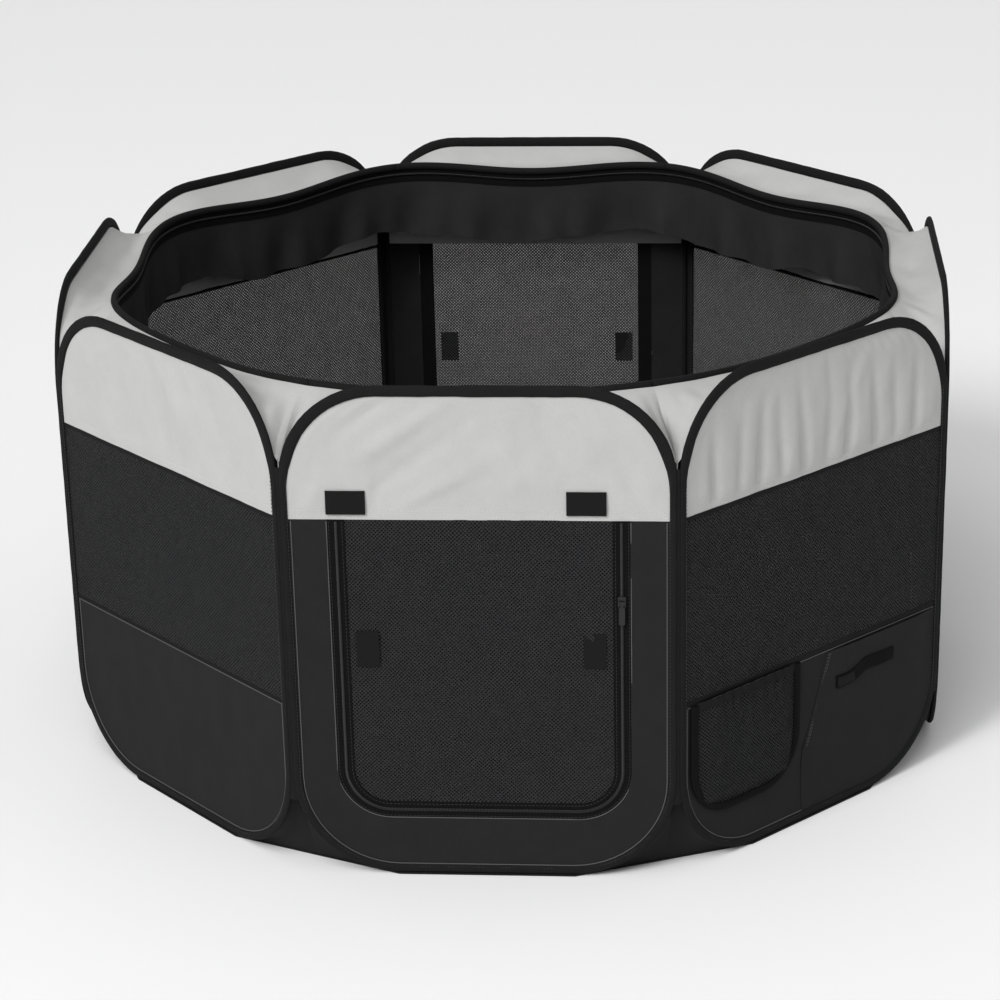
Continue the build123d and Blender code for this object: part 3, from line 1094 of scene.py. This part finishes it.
def make_flat_pocket():
    k = 1
    body = "front_right_wall"
    low = LOW + POCKET_INSET
    high = 0.2115
    radius = LOW_RADIUS - POCKET_INSET
    lower = soft_depth(k, 0.0040)

    def seam(height):
        """Slanted inner seam of the pocket."""
        return max(0.022 - 0.34 * (high - height), -0.018)

    def edge(height):
        return half_width(height, HALF - POCKET_INSET, low, NO_TOP, radius, 0)

    def depth(x, z):
        near = smooth(min(x - seam(z), edge(z) - x, z - low) / 0.04)
        mouth = 0.5 + 0.5 * smooth((high - z) / 0.03)
        return lower(x, z) + 0.0009 + 0.0058 * near * mouth

    lines = []
    for height in level_list(low, high, low, NO_TOP, radius, 0, 0.006, 12):
        lines.append([(x, height) for x in even(seam(height), edge(height), 44)])
    rows, uv = cloth(k, lines, depth)
    made = sheet(
        "flat_pocket_cloth", rows, uv, 0.0009, DARK, "dark_oxford", body,
        (0.235, 0.20), "stretched",
    )
    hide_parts("flat_pocket")
    for number, shift in enumerate((0.0035, 0.0060)):
        line = [place(k, seam(z) + shift, 0.0022, z) for z in even(0.208, 0.100, 30)]
        size = (0.0026, 0.0008, 0.0006)
        # These stitches take the piping's grey, which partly holds a painted edge highlight.
        repeat(k, f"flat_pocket_stitch_{number}", line, 0.0042, size, PIPING_GREY_HIGHLIGHT)

    def strip_height(x):
        return 0.171 + 0.009 * smooth((x - 0.055) / 0.035)

    lines = []
    for rise in even(-0.008, 0.008, 8):
        lines.append([(x, strip_height(x) + rise) for x in even(0.032, 0.132, 30)])
    rows, uv = cloth(k, lines, lambda x, z: depth(x, z) + 0.0014)
    made = sheet("pocket_hook_strip", rows, uv, 0.0014, ZIP_TAPE, "hook_loop", body)
    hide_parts("hook_strip")
    tab = [place(k, x, depth(x, 0.171) + 0.0026, strip_height(x)) for x in even(0.034, 0.062, 10)]
    wall_sweep(k, "pocket_pull_tab", tab, lambda i: oval(0.0065, 0.0008, 8, 0, 0.6), TAPE)


for index, wall_name in enumerate(WALLS):
    make_binding(index, wall_name)
    make_top(index, wall_name)
    if wall_name in DOORS:
        make_door(index, wall_name)
    else:
        make_window(index, wall_name)
    make_rim(index, wall_name)
    make_floor(index, wall_name)
    make_corner(index)
make_bottle_pocket()
make_flat_pocket()

for node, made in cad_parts.items():
    if node.endswith("_slider") or node.endswith("_pull"):
        made.data.materials.clear()
        made.data.materials.append(SLIDER)


# ---------------------------------------------------------------- stage, light and camera
def backdrop():
    """Floor that is flat round the pen and curves up far away on every side."""
    data = bpy.data.meshes.new("ground")
    verts = [(0.0, 0.0, -0.0005)]
    radii = [(6.0, 0.0), (12.0, 0.0)]
    radii += [(12 + 9 * math.sin(t), 9 - 9 * math.cos(t)) for t in even(0, 1.2, 12)[1:]]
    for radius, height in radii:
        for j in range(64):
            a = 2 * math.pi * j / 64
            verts.append((radius * math.cos(a), radius * math.sin(a), height - 0.0005))
    faces = [(0, 1 + j, 1 + (j + 1) % 64) for j in range(64)]
    for i in range(len(radii) - 1):
        for j in range(64):
            a = 1 + i * 64 + j
            b = 1 + i * 64 + (j + 1) % 64
            faces.append((a, a + 64, b + 64, b))
    data.from_pydata(verts, [], faces)
    data.polygons.foreach_set("use_smooth", [True] * len(data.polygons))
    return data


ground_data = backdrop()
ground_data.materials.append(plain("pale_ground", "FAFAFA", 0.9))
ground = bpy.data.objects.new("ground", ground_data)
bpy.context.scene.collection.objects.link(ground)

world = bpy.data.worlds.new("soft_white")
bpy.context.scene.world = world
world.use_nodes = True
world.node_tree.nodes["Background"].inputs[0].default_value = (1, 1, 1, 1)
world.node_tree.nodes["Background"].inputs[1].default_value = 0.42


def lamp(name, kind, energy, position, target, size):
    data = bpy.data.lights.new(name, kind)
    data.energy = energy
    if kind == "AREA":
        data.size = size
    else:
        data.angle = size
    made = bpy.data.objects.new(name, data)
    made.location = position
    made.rotation_euler = (Vector(target) - Vector(position)).to_track_quat("-Z", "Y").to_euler()
    bpy.context.scene.collection.objects.link(made)


lamp("sun", "SUN", 1.6, (-2.0, -2.5, 2.55), (0, 0, 0.3), 0.3)
lamp("softbox", "AREA", 235.0, (-1.1, -5.0, 6.3), (0, 0, 0.3), 4.2)

camera_data = bpy.data.cameras.new("camera")
camera_data.sensor_width = 36.0
camera_data.lens = 103.77
camera = bpy.data.objects.new("camera", camera_data)
camera.location = (0.2609, -3.5301, 1.6599)
facing = Vector((-0.0731, 0.9270, -0.3679)).to_track_quat("-Z", "Y")
camera.rotation_euler = (facing.to_matrix() @ Matrix.Rotation(math.radians(-1.331), 3, "Z")).to_euler()
bpy.context.scene.collection.objects.link(camera)
bpy.context.scene.camera = camera
bpy.context.scene.view_settings.view_transform = "Standard"
